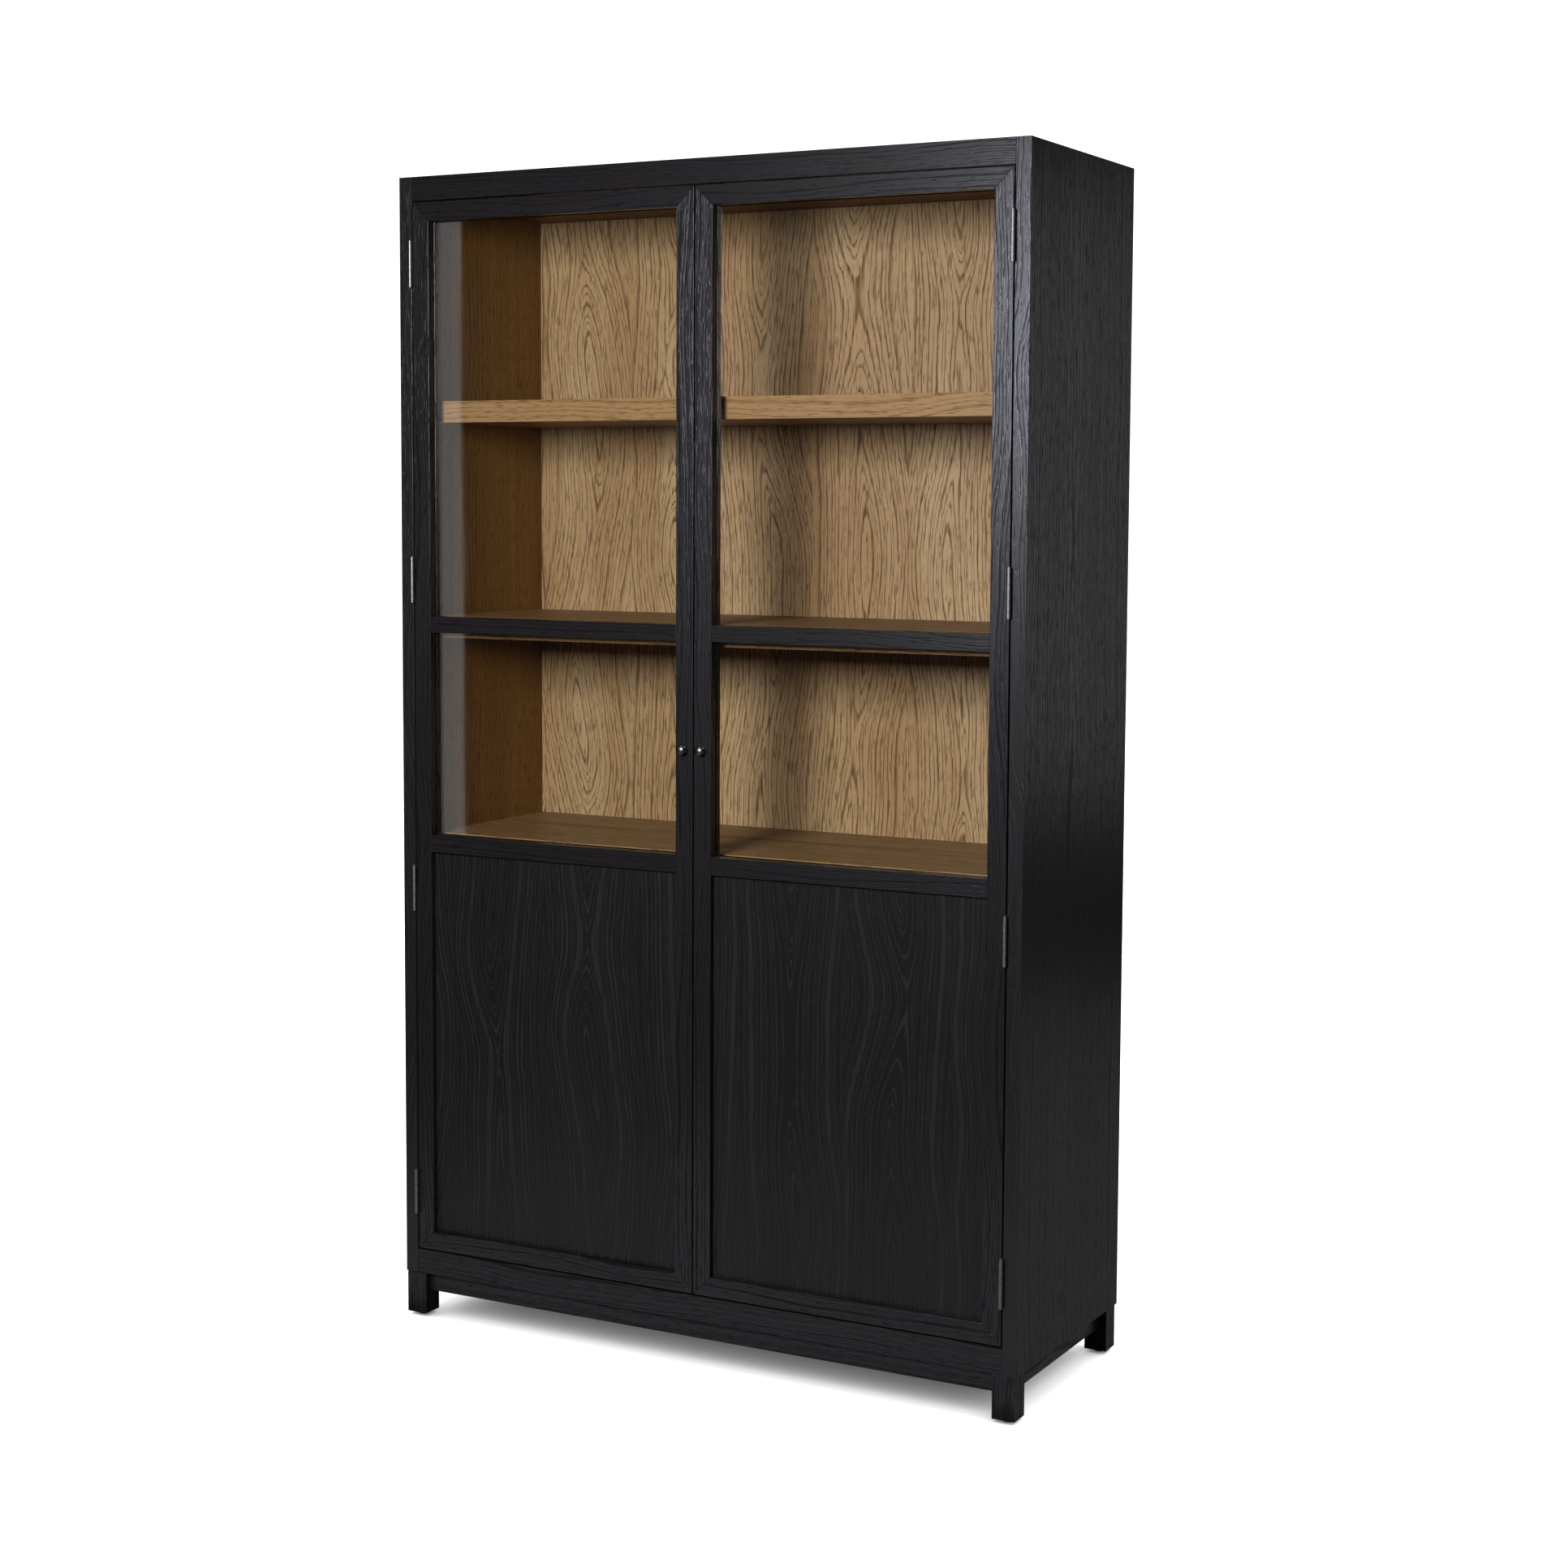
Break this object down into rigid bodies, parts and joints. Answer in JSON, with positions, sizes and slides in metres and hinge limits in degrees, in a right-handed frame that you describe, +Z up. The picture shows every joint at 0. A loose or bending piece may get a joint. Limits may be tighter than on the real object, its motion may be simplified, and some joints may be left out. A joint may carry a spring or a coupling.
{
  "type": "apothecary cabinet",
  "caption": "Tall free-standing display cabinet on short square legs, with two mitre-framed doors glazed above a solid panel, butt hinges, round knobs and thick shelves.",
  "frame": {"origin": "on the floor, under the middle of the box around the whole cabinet, knobs included", "axes": "+Z up; the doors look along -Y; +X to the right of someone facing the doors"},
  "size_m": [1.295, 0.5016, 2.2],
  "materials": {
    "black_oak": "matt black-stained open-grain oak",
    "brown_oak": "satin mid-brown oak veneer",
    "glass": "clear 4 mm float glass",
    "dark_iron": "burnished gunmetal",
    "glide_plastic": "pale moulded glide",
    "steel": "nickel-plated shelf pins and catch plates"
  },
  "bodies": {
    "carcass": {"side_panel_left": "black_oak", "side_panel_right": "black_oak", "top_panel": "black_oak", "bottom_panel": "black_oak", "back_panel": "brown_oak", "mid_shelf_fixed": "brown_oak", "lower_shelf_fixed": "brown_oak", "upper_shelf_adjustable": "brown_oak", "base_shelf_adjustable": "brown_oak", "apron_front": "black_oak", "apron_rear": "black_oak", "apron_left": "black_oak", "apron_right": "black_oak", "magnetic_catch": "dark_iron", "leg_front_left": "black_oak", "leg_front_right": "black_oak", "leg_rear_left": "black_oak", "leg_rear_right": "black_oak", "glide_front_left": "glide_plastic", "glide_front_right": "glide_plastic", "glide_rear_left": "glide_plastic", "glide_rear_right": "glide_plastic", "hinge_case_leaf_left_1": "dark_iron", "hinge_case_leaf_left_2": "dark_iron", "hinge_case_leaf_left_3": "dark_iron", "hinge_case_leaf_left_4": "dark_iron", "hinge_case_leaf_right_1": "dark_iron", "hinge_case_leaf_right_2": "dark_iron", "hinge_case_leaf_right_3": "dark_iron", "hinge_case_leaf_right_4": "dark_iron"},
    "door_left": {"meeting_stile_left": "black_oak", "hinge_stile_left": "black_oak", "door_top_rail_left": "black_oak", "door_bottom_rail_left": "black_oak", "glazing_bar_left": "black_oak", "lock_rail_left": "black_oak", "door_panel_left": "black_oak", "glass_upper_left": "glass", "glass_lower_left": "glass", "retaining_frame_left": "black_oak", "knob_left": "dark_iron", "hinge_door_leaf_left_1": "dark_iron", "hinge_door_leaf_left_2": "dark_iron", "hinge_door_leaf_left_3": "dark_iron", "hinge_door_leaf_left_4": "dark_iron"},
    "door_right": {"meeting_stile_right": "black_oak", "hinge_stile_right": "black_oak", "door_top_rail_right": "black_oak", "door_bottom_rail_right": "black_oak", "glazing_bar_right": "black_oak", "lock_rail_right": "black_oak", "door_panel_right": "black_oak", "glass_upper_right": "glass", "glass_lower_right": "glass", "retaining_frame_right": "black_oak", "knob_right": "dark_iron", "hinge_door_leaf_right_1": "dark_iron", "hinge_door_leaf_right_2": "dark_iron", "hinge_door_leaf_right_3": "dark_iron", "hinge_door_leaf_right_4": "dark_iron"}
  },
  "joints": [
    {"name": "door_left_hinge", "type": "hinge", "parent": "carcass", "child": "door_left", "pos_m": [-0.6187, -0.2342, 1.14], "axis": [0, 0, -1], "range_deg": [0, 170]},
    {"name": "door_right_hinge", "type": "hinge", "parent": "carcass", "child": "door_right", "pos_m": [0.6187, -0.2342, 1.14], "axis": [0, 0, 1], "range_deg": [0, 170]}
  ]
}
